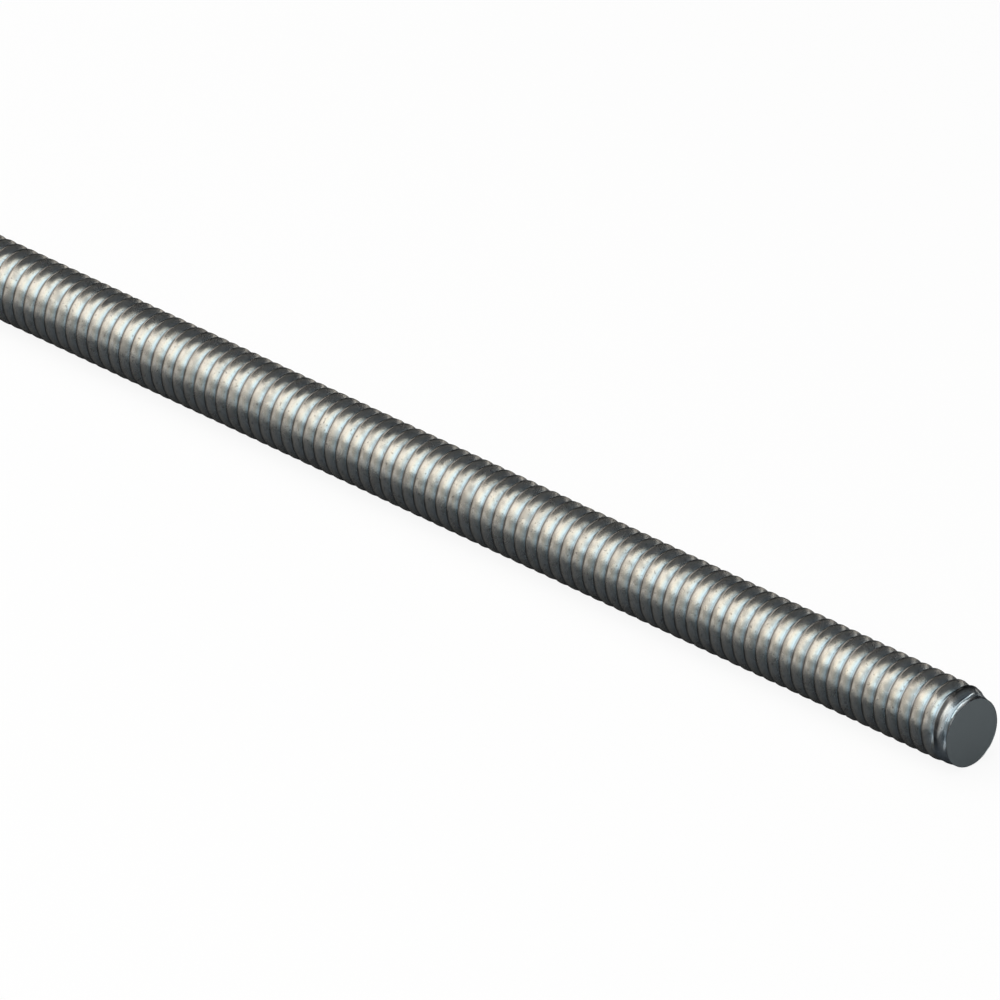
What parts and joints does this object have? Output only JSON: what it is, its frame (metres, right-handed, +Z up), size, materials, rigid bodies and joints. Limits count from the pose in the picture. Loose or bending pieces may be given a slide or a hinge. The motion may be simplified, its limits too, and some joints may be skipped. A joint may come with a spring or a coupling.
{
  "type": "threaded rod",
  "caption": "Straight round steel rod, threaded right-handed over its whole length, with a plain flat cut at each end and no head.",
  "frame": {"origin": "middle of the rod, on its axis", "axes": "+X along the rod's axis, from the far cut end to the near, sheared end; +Z up, away from the side to which the shear pushed the near end"},
  "size_m": [0.1524, 0.0064, 0.0064],
  "materials": {
    "zinc_plated_steel": "bright zinc plate over rolled steel, satin, with bare grey steel on the cut ends"
  },
  "bodies": {
    "root": {"threaded_rod": "zinc_plated_steel"}
  },
  "joints": []
}
